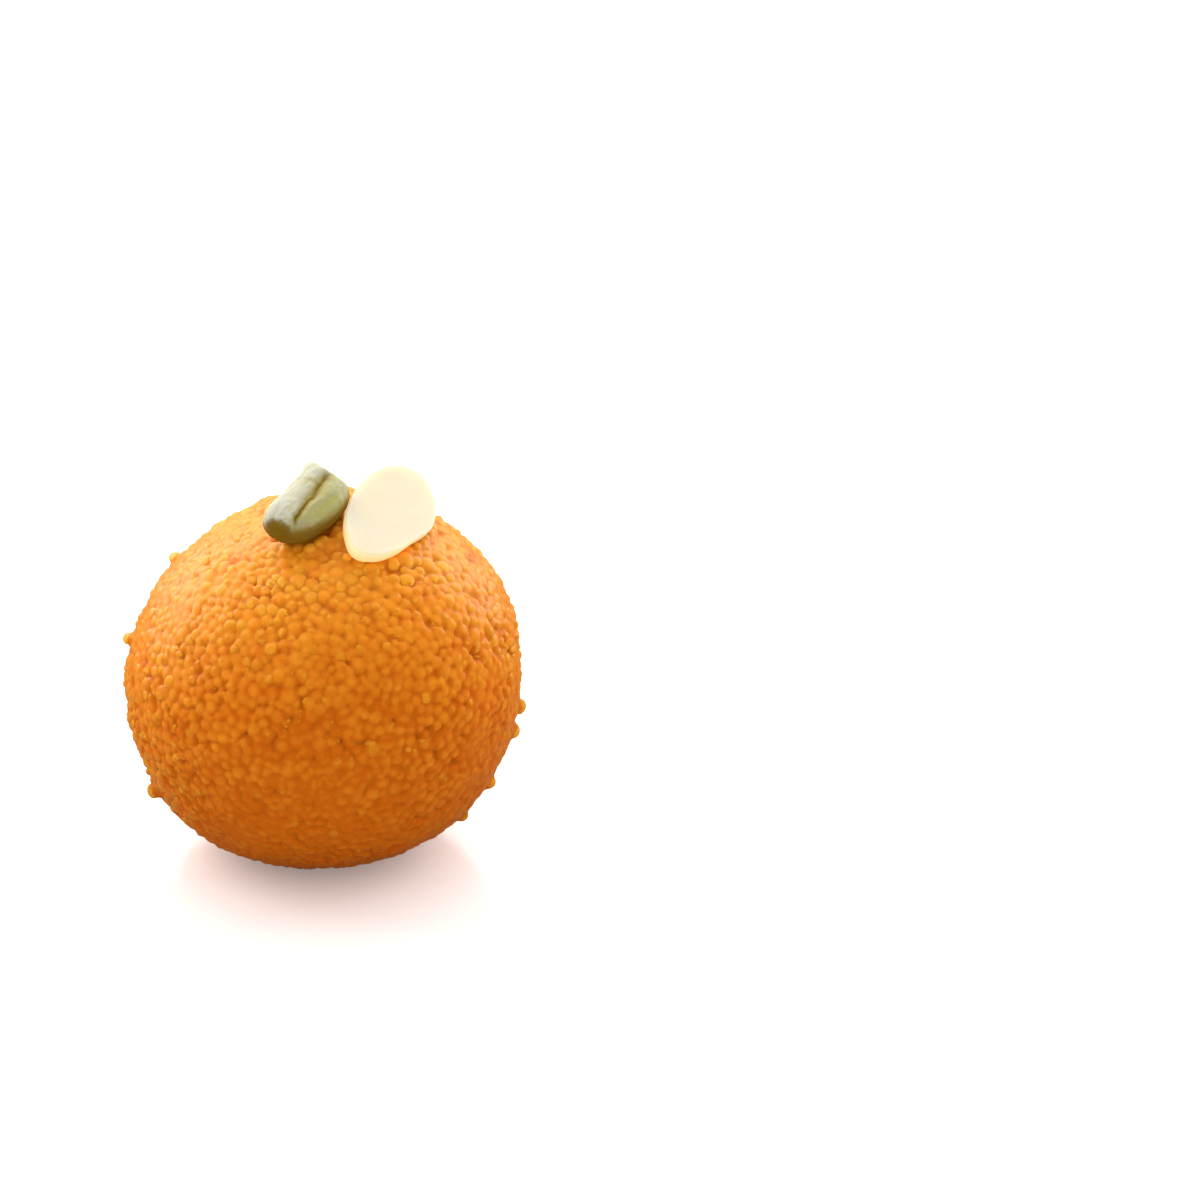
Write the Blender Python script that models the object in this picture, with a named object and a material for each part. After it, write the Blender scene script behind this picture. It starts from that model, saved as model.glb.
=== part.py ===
"""Motichoor laddu: a ball of small syrup-bound pearls, with a pistachio kernel and an almond flake on top.

Metres, +Z up, the flat spot under the ball on Z = 0 and the ball centred on the Z axis. The front of
the object faces -Y and +X is its right.
"""

import math

import bmesh
import bpy
import numpy as np
from mathutils import Matrix, Vector

# Ball of pearls, measured over the pearls' tops
BALL_RADIUS = 0.0230
BALL_HALF_HEIGHT_UP = 0.0217
BALL_HALF_HEIGHT_DOWN = 0.0212
BALL_CENTRE_Z = 0.0202
BALL_SKEW_UP = 0.034
BALL_SKEW_DOWN = 0.015
BALL_FULLNESS = 0.038
PEARL_COUNT = 1700
PEARL_RELIEF = 0.00056
PEARL_UNEVEN = 0.00022
PEARL_JITTER = 0.16
RELAX_STEPS = 5
SEED = 3147

# Loose pearls stuck to the outside: azimuth from +X and elevation in degrees, then radius
PROUD_GRAINS = (
    (161.0, 36.0, 0.00080),
    (175.0, 11.5, 0.00070),
    (194.6, -29.5, 0.00100),
    (-4.1, -9.1, 0.00095),
    (-6.6, -16.0, 0.00105),
    (-15.3, -30.7, 0.00095),
    (-24.0, -41.0, 0.00085),
    (62.0, -18.0, 0.00090),
    (112.0, 14.0, 0.00085),
    (146.0, -27.0, 0.00095),
)
GRAIN_SUNK = 0.30

# Pistachio kernel: half sizes along its length, across and up, then what makes it uneven
PISTACHIO_HALF = (0.0057, 0.0032, 0.0026)
PISTACHIO_CENTRE = (-0.001576, -0.005872, 0.043902)
PISTACHIO_AZIMUTH = math.radians(39.0)
PISTACHIO_PITCH = math.radians(15.8)
PISTACHIO_ROLL = math.radians(22.8)
PISTACHIO_BLUNT_LENGTH = 0.62
PISTACHIO_BLUNT_GIRTH = 0.82
PISTACHIO_BEND = 0.00087
PISTACHIO_WAIST = 0.00020
PISTACHIO_WIDENING = 0.15
PISTACHIO_END_LIFT = 0.00013
PISTACHIO_KNOB = 0.00035
GROOVE_DEPTH = 0.00065
GROOVE_HALF_WIDTH = 0.00085
PISTACHIO_ROUND = 40
PISTACHIO_ALONG = 22

# Almond flake: a slice with an egg-shaped outline
FLAKE_HALF_LENGTH = 0.0083
FLAKE_HALF_WIDTH = 0.00485
FLAKE_THICKNESS = 0.0016
FLAKE_TOP_CENTRE = (0.00803, -0.00464, 0.04274)
FLAKE_LONG_AXIS = (0.3365, 0.9095, 0.2442)
FLAKE_NORMAL = (0.2993, -0.3492, 0.8880)
FLAKE_MEAN = 0.982
FLAKE_HARMONICS = ((0.008, -0.014), (-0.004, -0.031), (-0.023, 0.034), (0.017, 0.0))
FLAKE_TIP = (math.radians(172.0), math.radians(13.0), 0.060)
FLAKE_ROUND = 40
FLAKE_PROFILE = (
    (0.0, 0.50),
    (0.50, 0.50),
    (0.90, 0.48),
    (0.97, 0.36),
    (1.0, 0.12),
    (1.0, -0.30),
    (0.98, -0.45),
    (0.93, -0.50),
    (0.0, -0.50),
)

# Pearls this near to a topping are pressed down to the core of the ball
PRESSED_WITHIN = 0.0015


def clear_scene():
    """Remove every object of the startup scene."""
    for obj in list(bpy.data.objects):
        bpy.data.objects.remove(obj)


def material(name, colour, roughness, subsurface=0.0):
    """Return a Principled material."""
    made = bpy.data.materials.new(name)
    made.use_nodes = True
    shader = made.node_tree.nodes["Principled BSDF"]
    shader.inputs["Base Color"].default_value = (*colour, 1.0)
    shader.inputs["Roughness"].default_value = roughness
    shader.inputs["Subsurface Weight"].default_value = subsurface
    return made


def object_from(name, bm, finish):
    """Turn a bmesh into a linked object with one material."""
    bm.normal_update()
    bmesh.ops.recalc_face_normals(bm, faces=bm.faces)
    mesh = bpy.data.meshes.new(name)
    bm.to_mesh(mesh)
    bm.free()
    mesh.materials.append(finish)
    obj = bpy.data.objects.new(name, mesh)
    bpy.context.scene.collection.objects.link(obj)
    return obj


def corners(obj):
    """Return an object's vertices as an array."""
    return np.array([vert.co for vert in obj.data.vertices])


def unit(vectors):
    """Return the rows of an array scaled to length one."""
    return vectors / np.linalg.norm(vectors, axis=-1, keepdims=True)


def pearl_directions(count, rng):
    """Return irregular but even unit directions: a spiral, jittered and then relaxed."""
    index = np.arange(count) + 0.5
    polar = np.arccos(1.0 - 2.0 * index / count)
    turn = math.pi * (1.0 + math.sqrt(5.0)) * index
    spiral = [np.sin(polar) * np.cos(turn), np.sin(polar) * np.sin(turn), np.cos(polar)]
    spacing = math.sqrt(4.0 * math.pi / count)
    points = np.stack(spiral, axis=1)
    points = unit(points + rng.normal(0.0, PEARL_JITTER * spacing, points.shape))
    for _ in range(RELAX_STEPS):
        apart = points[:, None, :] - points[None, :, :]
        distance = np.linalg.norm(apart, axis=2) + np.eye(count)
        push = np.clip(1.0 - distance / (0.95 * spacing), 0.0, None)
        moved = (apart * (push / distance)[..., None]).sum(axis=1)
        points = unit(points + 0.35 * spacing * moved)
    return points


def ball_reach(directions, relief):
    """Return how far the ball's surface lies from its centre along each direction.

    The surface is an ellipsoid shrunk by the relief, drawn out towards its upper right and lower
    left as rolled by hand, fuller low down, and it stops at the flat spot on Z = 0.
    """
    rise = directions[:, 2]
    half = np.full((len(rise), 3), BALL_RADIUS)
    half[:, 2] = np.where(rise > 0.0, BALL_HALF_HEIGHT_UP, BALL_HALF_HEIGHT_DOWN)
    reach = 1.0 / np.linalg.norm(directions / (half - relief[:, None]), axis=1)
    skew = np.interp(rise, (-0.4, 0.4), (BALL_SKEW_DOWN, BALL_SKEW_UP))
    shoulder = (4.0 * rise**2 * (1.0 - rise**2)) ** 2
    fuller = np.where(rise < 0.0, BALL_FULLNESS * shoulder, 0.0)
    reach = reach * (1.0 + 2.0 * skew * directions[:, 0] * rise + fuller)
    down = np.clip(-rise, 1e-6, None)
    return np.minimum(reach, BALL_CENTRE_Z / down)


def on_ball(directions, relief):
    """Return points on the ball's surface, in metres."""
    points = directions * ball_reach(directions, relief)[:, None]
    return points + np.array([0.0, 0.0, BALL_CENTRE_Z])


def pearl_cells(directions):
    """Return a bmesh on the unit sphere in which each direction is a peak inside a ring of dips.

    The hull of the directions joins neighbours by triangles. A dip goes into the middle of each
    triangle, and each edge between two peaks is then turned to join the dips on its two sides.
    """
    bm = bmesh.new()
    for direction in directions:
        bm.verts.new(direction)
    bmesh.ops.convex_hull(bm, input=bm.verts)
    between_peaks = list(bm.edges)
    bmesh.ops.poke(bm, faces=bm.faces)
    bmesh.ops.rotate_edges(bm, edges=between_peaks, use_ccw=False)
    return bm


def ball_relief(points, peaks, toppings, rng):
    """Return how far each point lies below the pearls' tops."""
    relief = np.where(peaks, rng.uniform(0.0, PEARL_UNEVEN, len(points)), PEARL_RELIEF)
    near = np.full(len(points), np.inf)
    for topping in toppings:
        apart = np.linalg.norm(points[:, None, :] - topping[None, :, :], axis=2)
        near = np.minimum(near, apart.min(axis=1))
    return np.where(near < PRESSED_WITHIN, PEARL_RELIEF, relief)


def boondi_ball(finish, toppings):
    """Make the ball with its pearls as bumps, pressed down under the toppings."""
    rng = np.random.default_rng(SEED)
    bm = pearl_cells(pearl_directions(PEARL_COUNT, rng))
    directions = unit(np.array([vert.co for vert in bm.verts]))
    peaks = np.arange(len(directions)) < PEARL_COUNT
    flush = on_ball(directions, np.zeros(len(directions)))
    relief = ball_relief(flush, peaks, toppings, rng)
    for vert, point in zip(bm.verts, on_ball(directions, relief)):
        vert.co = point
    return object_from("boondi_ball", bm, finish)


def add_proud_grains(ball, finish):
    """Fuse the loose pearls onto the outside of the ball."""
    grains = bpy.data.collections.new("proud_grains")
    bpy.context.scene.collection.children.link(grains)
    for azimuth, elevation, radius in PROUD_GRAINS:
        turn = math.radians(azimuth)
        rise = math.radians(elevation)
        outward = np.array([[math.cos(turn), math.sin(turn), 0.0]]) * math.cos(rise)
        outward[0, 2] = math.sin(rise)
        seat = on_ball(outward, np.full(1, PEARL_RELIEF))[0] + outward[0] * radius * GRAIN_SUNK
        bm = bmesh.new()
        bmesh.ops.create_icosphere(bm, subdivisions=2, radius=radius)
        bmesh.ops.rotate(bm, verts=bm.verts, matrix=Matrix.Rotation(turn * 3.0, 3, "X"))
        bmesh.ops.translate(bm, verts=bm.verts, vec=Vector(seat))
        grain = object_from("grain", bm, finish)
        bpy.context.scene.collection.objects.unlink(grain)
        grains.objects.link(grain)
    union = ball.modifiers.new("grains", "BOOLEAN")
    union.operation = "UNION"
    union.operand_type = "COLLECTION"
    union.collection = grains
    union.solver = "MANIFOLD"
    bpy.context.view_layer.objects.active = ball
    bpy.ops.object.modifier_apply(modifier=union.name)
    for grain in list(grains.objects):
        bpy.data.objects.remove(grain)
    bpy.data.collections.remove(grains)


def pistachio_axes():
    """Return the kernel's length, across and up axes, its azimuth going from +Y towards +X."""
    flat = math.cos(PISTACHIO_PITCH)
    length = Vector((
        math.sin(PISTACHIO_AZIMUTH) * flat,
        math.cos(PISTACHIO_AZIMUTH) * flat,
        math.sin(PISTACHIO_PITCH),
    ))
    across = length.cross(Vector((0.0, 0.0, 1.0))).normalized()
    up = across.cross(length)
    rolled_across = math.cos(PISTACHIO_ROLL) * across - math.sin(PISTACHIO_ROLL) * up
    rolled_up = math.cos(PISTACHIO_ROLL) * up + math.sin(PISTACHIO_ROLL) * across
    return length, rolled_across, rolled_up


def powered(values, power):
    """Return each value's size raised to a power, with its sign kept."""
    return np.sign(values) * np.abs(values) ** power


def kernel_shape(sphere):
    """Turn unit sphere points, with their poles on X, into the kernel along X, across Y, up Z.

    It is a superellipsoid, bent sideways, with a waist on its left before the far end and a
    groove along its top, and a knob on its far left corner.
    """
    ring = np.maximum(np.hypot(sphere[:, 1], sphere[:, 2]), 1e-9)
    along = powered(sphere[:, 0], PISTACHIO_BLUNT_LENGTH)
    girth = np.where(ring < 1e-6, 0.0, ring ** PISTACHIO_BLUNT_LENGTH)
    left_right = girth * powered(sphere[:, 1] / ring, PISTACHIO_BLUNT_GIRTH)
    rise = girth * powered(sphere[:, 2] / ring, PISTACHIO_BLUNT_GIRTH)
    half_length, half_width, half_height = PISTACHIO_HALF
    waist = np.exp(-(((along - 0.5) / 0.2) ** 2)) * np.clip(-left_right, 0.0, 1.0)
    x = half_length * along
    y = half_width * left_right + PISTACHIO_BEND * (0.5 - along**2) + PISTACHIO_WAIST * waist
    y = y * (1.0 + PISTACHIO_WIDENING * along)
    y = y + PISTACHIO_KNOB * np.clip(along, 0.0, 1.0) ** 4 * np.clip(left_right, -1.0, 0.0)
    z = half_height * rise + PISTACHIO_END_LIFT * along**2
    middle = 0.00055 - 0.23 * x + 15.0 * x**2
    groove = np.exp(-(((y - middle) / GROOVE_HALF_WIDTH) ** 2)) * np.clip(rise, 0.0, 1.0)
    z = z - GROOVE_DEPTH * groove * np.clip(1.3 - 1.3 * np.abs(along) ** 3, 0.0, 1.0)
    return np.stack([x, y, z], axis=1)


def pistachio_kernel(finish):
    """Make the skinned pistachio kernel that leans back on top of the ball."""
    bm = bmesh.new()
    bmesh.ops.create_uvsphere(
        bm, u_segments=PISTACHIO_ROUND, v_segments=PISTACHIO_ALONG, radius=1.0
    )
    bmesh.ops.rotate(bm, verts=bm.verts, matrix=Matrix.Rotation(math.pi / 2.0, 3, "Y"))
    shaped = kernel_shape(np.array([vert.co for vert in bm.verts]))
    axes = np.array(pistachio_axes())
    for vert, point in zip(bm.verts, shaped @ axes + np.array(PISTACHIO_CENTRE)):
        vert.co = point
    return object_from("pistachio_kernel", bm, finish)


def flake_outline(angle):
    """Return the flake's radius at an angle from its long axis."""
    ellipse = 1.0 / np.hypot(np.cos(angle) / FLAKE_HALF_LENGTH, np.sin(angle) / FLAKE_HALF_WIDTH)
    share = np.full_like(angle, FLAKE_MEAN)
    for order, (even, odd) in enumerate(FLAKE_HARMONICS, start=1):
        share = share + even * np.cos(order * angle) + odd * np.sin(order * angle)
    tip, spread, push = FLAKE_TIP
    from_tip = np.angle(np.exp(1j * (angle - tip)))
    return ellipse * (share + push * np.exp(-((from_tip / spread) ** 2)))


def almond_flake(finish):
    """Make the almond flake: a turned plate with rounded edges, drawn out to its outline."""
    bm = bmesh.new()
    profile = [bm.verts.new((share, 0.0, height)) for share, height in FLAKE_PROFILE]
    edges = [bm.edges.new(pair) for pair in zip(profile, profile[1:])]
    bmesh.ops.spin(
        bm, geom=profile + edges, cent=(0, 0, 0), axis=(0, 0, 1), angle=2.0 * math.pi,
        steps=FLAKE_ROUND, use_merge=True,
    )
    bmesh.ops.remove_doubles(bm, verts=bm.verts, dist=1e-5)
    turned = np.array([vert.co for vert in bm.verts])
    reach = flake_outline(np.arctan2(turned[:, 1], turned[:, 0]))
    length = np.array(FLAKE_LONG_AXIS)
    normal = unit(np.array(FLAKE_NORMAL))
    length = unit(length - normal * length.dot(normal))
    axes = np.array([length, np.cross(normal, length), normal])
    flat = np.stack(
        [turned[:, 0] * reach, turned[:, 1] * reach, turned[:, 2] * FLAKE_THICKNESS], axis=1
    )
    centre = np.array(FLAKE_TOP_CENTRE) - normal * FLAKE_THICKNESS / 2.0
    for vert, point in zip(bm.verts, flat @ axes + centre):
        vert.co = point
    return object_from("almond_flake", bm, finish)


def main():
    """Build the laddu."""
    clear_scene()
    boondi = material("boondi_syrup", (0.86, 0.30, 0.02), 0.28, 0.35)
    kernel = pistachio_kernel(material("pistachio_green", (0.36, 0.38, 0.16), 0.70))
    flake = almond_flake(material("almond_ivory", (0.93, 0.85, 0.66), 0.55, 0.25))
    ball = boondi_ball(boondi, [corners(kernel), corners(flake)])
    add_proud_grains(ball, boondi)


main()
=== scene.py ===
"""Looks of a motichoor laddu: pearls bound by syrup, a pistachio kernel and an almond flake.

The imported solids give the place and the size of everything. Each of the three is replaced by
finer pieces worked out with numpy: the ball by a syrup skin and thousands of pearls, the kernel
and the flake by close surfaces with their creases and rounded rims.
"""

import logging
import math
from dataclasses import dataclass
from dataclasses import field
from enum import Enum

import bpy
import numpy as np
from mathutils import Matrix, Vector

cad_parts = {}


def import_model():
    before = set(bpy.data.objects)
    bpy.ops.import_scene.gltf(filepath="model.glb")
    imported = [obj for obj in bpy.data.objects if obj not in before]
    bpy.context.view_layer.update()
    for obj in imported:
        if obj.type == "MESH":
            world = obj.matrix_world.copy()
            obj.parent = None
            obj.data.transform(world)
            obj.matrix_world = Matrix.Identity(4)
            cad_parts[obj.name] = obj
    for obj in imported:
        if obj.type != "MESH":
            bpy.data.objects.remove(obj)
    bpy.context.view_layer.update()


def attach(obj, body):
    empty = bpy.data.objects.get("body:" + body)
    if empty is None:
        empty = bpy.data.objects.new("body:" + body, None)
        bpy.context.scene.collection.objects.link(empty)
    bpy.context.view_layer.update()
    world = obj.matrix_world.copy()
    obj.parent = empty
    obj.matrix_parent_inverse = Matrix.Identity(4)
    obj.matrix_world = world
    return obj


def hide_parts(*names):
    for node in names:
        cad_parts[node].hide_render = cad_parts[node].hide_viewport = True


LOG = logging.getLogger("laddu")
MM = 0.001
# A Mix node's sockets for colours, whose names are those of its sockets for numbers.
MIX_FIRST, MIX_SECOND, MIX_RESULT = 6, 7, 2


def unit(vectors: np.ndarray) -> np.ndarray:
    """Return the vectors of an array scaled to length one."""
    return vectors / np.maximum(np.linalg.norm(vectors, axis=-1, keepdims=True), 1e-12)


def powered(values: np.ndarray, power: float | np.ndarray) -> np.ndarray:
    """Return each value's size raised to a power, with its sign kept."""
    return np.sign(values) * np.abs(values) ** power


def hump(values: np.ndarray, middle: float, width: float) -> np.ndarray:
    """Return the bell exp(-((value - middle) / width) squared)."""
    return np.exp(-(((values - middle) / width) ** 2))


def step_down(values: np.ndarray, middle: float, width: float) -> np.ndarray:
    """Return 1 / (1 + exp((value - middle) / width)), which falls from 1 to 0 at the middle."""
    return 1.0 / (1.0 + np.exp((values - middle) / width))


def ripple(points: np.ndarray, per_metre: float, waves: int, seed: int) -> np.ndarray:
    """Return smooth seeded noise: the sum of plane waves in random directions, about -1 to 1.

    Args:
        points: Places in metres, one row each.
        per_metre: Mean number of waves to the metre.
        waves: How many waves are summed.
        seed: Seed of the directions, lengths and phases.

    Returns:
        One value for each point.
    """
    rng = np.random.default_rng(seed)
    heading = unit(rng.normal(size=(waves, 3)))
    number = heading * (2.0 * math.pi * per_metre * rng.uniform(0.6, 1.5, (waves, 1)))
    phase = rng.uniform(0.0, 2.0 * math.pi, waves)
    return np.cos(points @ number.T + phase).sum(axis=1) / math.sqrt(waves)


def closed_grid(rings: int, sectors: int) -> np.ndarray:
    """Return the triangles of a closed grid: a pole, rings of points, and a pole.

    Point 0 is the first pole, ring r and sector s is point 1 + r * sectors + s, and the last
    point is the other pole. Triangles face outwards where the first pole is on +Z and sectors
    go round it anticlockwise.

    Args:
        rings: Rings between the poles.
        sectors: Points in a ring.

    Returns:
        An array of three point numbers for each triangle.
    """
    here = np.arange(sectors)
    after = (here + 1) % sectors
    last = 1 + rings * sectors
    top = np.stack([np.zeros_like(here), 1 + here, 1 + after], axis=1)
    under = 1 + (rings - 1) * sectors
    bottom = np.stack([np.full_like(here, last), under + after, under + here], axis=1)
    row = 1 + sectors * np.arange(rings - 1)[:, None]
    upper_here, upper_after = row + here, row + after
    lower_here, lower_after = upper_here + sectors, upper_after + sectors
    first = np.stack([upper_here, lower_here, lower_after], axis=2).reshape(-1, 3)
    second = np.stack([upper_here, lower_after, upper_after], axis=2).reshape(-1, 3)
    return np.concatenate([top, first, second, bottom])


def sphere_grid(polar: np.ndarray, sectors: int) -> np.ndarray:
    """Return the points of a closed unit sphere grid whose poles lie on +Z and -Z.

    A point is (sin p cos a, sin p sin a, cos p), with every other ring turned by half a sector.

    Args:
        polar: Angle of each ring from +Z.
        sectors: Points in a ring.

    Returns:
        The points, in the order that closed_grid numbers them.
    """
    half_turned = 0.5 * (np.arange(len(polar)) % 2)[:, None]
    turn = 2.0 * math.pi * (np.arange(sectors)[None, :] + half_turned) / sectors
    across = np.sin(polar)[:, None]
    rings = np.stack(
        [across * np.cos(turn), across * np.sin(turn), np.cos(polar)[:, None] + 0.0 * turn], axis=2
    )
    poles = np.array([[0.0, 0.0, 1.0], [0.0, 0.0, -1.0]])
    return np.concatenate([poles[:1], rings.reshape(-1, 3), poles[1:]])


def point_normals(points: np.ndarray, faces: np.ndarray) -> np.ndarray:
    """Return a normal for each point: the sum of its faces' cross products, scaled to one.

    Args:
        points: Places, one row each.
        faces: Point numbers of each face.

    Returns:
        Unit vectors.
    """
    first, second, third = (points[faces[:, corner]] for corner in (0, 1, 2))
    facing = np.cross(second - first, third - first)
    total = [
        np.bincount(faces.ravel(), np.repeat(facing[:, axis], faces.shape[1]), len(points))
        for axis in range(3)
    ]
    return unit(np.stack(total, axis=1))


def across(normals: np.ndarray) -> tuple[np.ndarray, np.ndarray]:
    """Return two axes for each unit vector, at right angles to it and to each other.

    The first is the cross product of +Z, or of +X where the vector is near Z, and the vector.

    Args:
        normals: Unit vectors, one row each.

    Returns:
        The first and the second axes.
    """
    helper = np.where(np.abs(normals[:, 2:]) < 0.9, [[0.0, 0.0, 1.0]], [[1.0, 0.0, 0.0]])
    east = unit(np.cross(helper, normals))
    return east, np.cross(normals, east)


def nearest_others(points: np.ndarray, nearest: int) -> np.ndarray:
    """Return the numbers of the nearest points to each point, itself left out.

    Args:
        points: Places, one row each.
        nearest: How many to return.

    Returns:
        An array of point numbers, one row for each point.
    """
    found = []
    lengths = (points**2).sum(axis=1)
    for rows in np.array_split(np.arange(len(points)), 12):
        apart = lengths[rows][:, None] + lengths[None, :] - 2.0 * points[rows] @ points.T
        apart[np.arange(len(rows)), rows] = np.inf
        found.append(np.argpartition(apart, nearest, axis=1)[:, :nearest])
    return np.concatenate(found)


def cube_sphere(side: int) -> tuple[np.ndarray, np.ndarray]:
    """Return unit directions and faces of a cube swollen to a sphere, with no poles.

    A point of a cube face (u, v, 1) is spread by tan(45 degrees times u) and scaled to length one,
    and points that two cube faces share are merged.

    Args:
        side: Squares along an edge of the cube.

    Returns:
        The directions and the four point numbers of each square.
    """
    steps = np.tan(np.linspace(-1.0, 1.0, side + 1) * math.pi / 4.0)
    steps[0], steps[-1] = -1.0, 1.0
    u, v = np.meshgrid(steps, steps, indexing="ij")
    one = np.ones_like(u)
    sides = [(u, v, one), (v, u, -one), (one, u, v), (-one, v, u), (v, one, u), (u, -one, v)]
    points = np.concatenate([np.stack(axes, axis=2).reshape(-1, 3) for axes in sides])
    corner = (np.arange(side)[:, None] * (side + 1) + np.arange(side)[None, :]).reshape(-1)
    square = np.stack([corner, corner + side + 1, corner + side + 2, corner + 1], axis=1)
    faces = np.concatenate([square + index * (side + 1) ** 2 for index in range(6)])
    keys = np.round(points * 1e6).astype(np.int64)
    _, first, merged = np.unique(keys, axis=0, return_index=True, return_inverse=True)
    return unit(points[first]), merged.reshape(-1)[faces]


def piece_from(
    name: str,
    points: np.ndarray,
    faces: np.ndarray,
    finish: bpy.types.Material,
    values: dict[str, np.ndarray] | None = None,
    normals: np.ndarray | None = None,
) -> bpy.types.Object:
    """Make a smooth mesh object at the origin from arrays.

    Args:
        name: Name of the object.
        points: Places in metres.
        faces: Point numbers of each face, three or four to a row.
        finish: Its material.
        values: Named values for each point, which the material may read.
        normals: Shading normals for each point, where they aren't the mesh's own.

    Returns:
        The linked object.
    """
    mesh = bpy.data.meshes.new(name)
    corners = faces.shape[1]
    mesh.vertices.add(len(points))
    mesh.vertices.foreach_set("co", points.astype(np.float32).ravel())
    mesh.loops.add(faces.size)
    mesh.loops.foreach_set("vertex_index", faces.astype(np.int32).ravel())
    mesh.polygons.add(len(faces))
    mesh.polygons.foreach_set("loop_start", np.arange(0, faces.size, corners, dtype=np.int32))
    mesh.update(calc_edges=True)
    mesh.shade_smooth()
    if normals is not None:
        mesh.normals_split_custom_set_from_vertices(normals.astype(np.float32))
    for title, amounts in (values or {}).items():
        layer = mesh.attributes.new(title, "FLOAT", "POINT")
        layer.data.foreach_set("value", amounts.astype(np.float32).ravel())
    mesh.materials.append(finish)
    piece = bpy.data.objects.new(name, mesh)
    bpy.context.scene.collection.objects.link(piece)
    return piece


def hand_over(piece: bpy.types.Object, node: str) -> None:
    """Let a piece ride on the body and stand for a node, which is hidden.

    Args:
        piece: The finished piece.
        node: Node that it replaces.
    """
    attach(piece, "root")
    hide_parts(node)
    LOG.info("%s: %d faces, for %s", piece.name, len(piece.data.polygons), node)


class PearlKind(Enum):
    """The kinds of pearl in the ball, by colour and size."""

    AMBER = "amber"
    SAFFRON = "saffron"
    HONEY = "honey"

    def number(self) -> int:
        """Return its place among the kinds, from 0."""
        return list(PearlKind).index(self)


@dataclass(frozen=True)
class MottleGroup:
    """Node group that mixes two colours by noise and by a value, and gives the noise's height.

    Attributes:
        name: Name of the group.
        detail: How many finer layers the noise has.
        raggedness: How strong the finer layers are.
    """

    name: str = "mottle"
    detail: float = 3.0
    raggedness: float = 0.55

    def build(self) -> bpy.types.ShaderNodeTree:
        """Return the group, made on the first call.

        Returns:
            The node tree, with inputs for two colours, scale, spread and shift.
        """
        known = bpy.data.node_groups.get(self.name)
        if known is not None:
            return known
        tree = bpy.data.node_groups.new(self.name, "ShaderNodeTree")
        face = tree.interface
        for title in ("Deep", "Light"):
            face.new_socket(title, in_out="INPUT", socket_type="NodeSocketColor")
        for title in ("Scale", "Spread", "Shift"):
            face.new_socket(title, in_out="INPUT", socket_type="NodeSocketFloat")
        face.new_socket("Color", in_out="OUTPUT", socket_type="NodeSocketColor")
        face.new_socket("Height", in_out="OUTPUT", socket_type="NodeSocketFloat")
        nodes, links = tree.nodes, tree.links
        given = nodes.new("NodeGroupInput")
        result = nodes.new("NodeGroupOutput")
        place = nodes.new("ShaderNodeTexCoord")
        noise = nodes.new("ShaderNodeTexNoise")
        noise.inputs["Detail"].default_value = self.detail
        noise.inputs["Roughness"].default_value = self.raggedness
        centred = nodes.new("ShaderNodeMath")
        centred.operation = "SUBTRACT"
        centred.inputs[1].default_value = 0.5
        spread = nodes.new("ShaderNodeMath")
        spread.operation = "MULTIPLY_ADD"
        spread.use_clamp = True
        mixed = nodes.new("ShaderNodeMix")
        mixed.data_type = "RGBA"
        links.new(place.outputs["Object"], noise.inputs["Vector"])
        links.new(given.outputs["Scale"], noise.inputs["Scale"])
        links.new(noise.outputs["Fac"], centred.inputs[0])
        links.new(centred.outputs[0], spread.inputs[0])
        links.new(given.outputs["Spread"], spread.inputs[1])
        links.new(given.outputs["Shift"], spread.inputs[2])
        links.new(spread.outputs[0], mixed.inputs["Factor"])
        links.new(given.outputs["Deep"], mixed.inputs[MIX_FIRST])
        links.new(given.outputs["Light"], mixed.inputs[MIX_SECOND])
        links.new(mixed.outputs[MIX_RESULT], result.inputs["Color"])
        links.new(noise.outputs["Fac"], result.inputs["Height"])
        return tree


def colour(red: float, green: float, blue: float) -> tuple[float, float, float, float]:
    """Return a linear colour with full alpha."""
    return (red, green, blue, 1.0)


def start_finish(
    finish: "SweetFinish | NutFinish", levels: dict[str, float | tuple[float, ...]]
) -> tuple[bpy.types.Material, bpy.types.ShaderNode, bpy.types.ShaderNode]:
    """Start a material: its shader's levels, its fine bumps and its mottled colour.

    Args:
        finish: The finish, whose name, colours, patches and bumps are read.
        levels: Level of each socket of the Principled shader that the finish sets.

    Returns:
        The material, its Principled shader and the node of its mottle group.
    """
    made = bpy.data.materials.new(finish.name)
    made.use_nodes = True
    nodes, links = made.node_tree.nodes, made.node_tree.links
    shader = nodes["Principled BSDF"]
    for socket, level in levels.items():
        shader.inputs[socket].default_value = level
    mottle = nodes.new("ShaderNodeGroup")
    mottle.node_tree = MottleGroup().build()
    mottle.inputs["Deep"].default_value = finish.deep
    mottle.inputs["Light"].default_value = finish.light
    mottle.inputs["Scale"].default_value = 1.0 / finish.grain
    mottle.inputs["Spread"].default_value = finish.spread
    tint = nodes.new("ShaderNodeAttribute")
    tint.attribute_name = "tint"
    bump = nodes.new("ShaderNodeBump")
    bump.inputs["Distance"].default_value = finish.relief
    links.new(tint.outputs["Fac"], mottle.inputs["Shift"])
    links.new(mottle.outputs["Height"], bump.inputs["Height"])
    links.new(bump.outputs["Normal"], shader.inputs["Normal"])
    return made, shader, mottle


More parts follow.
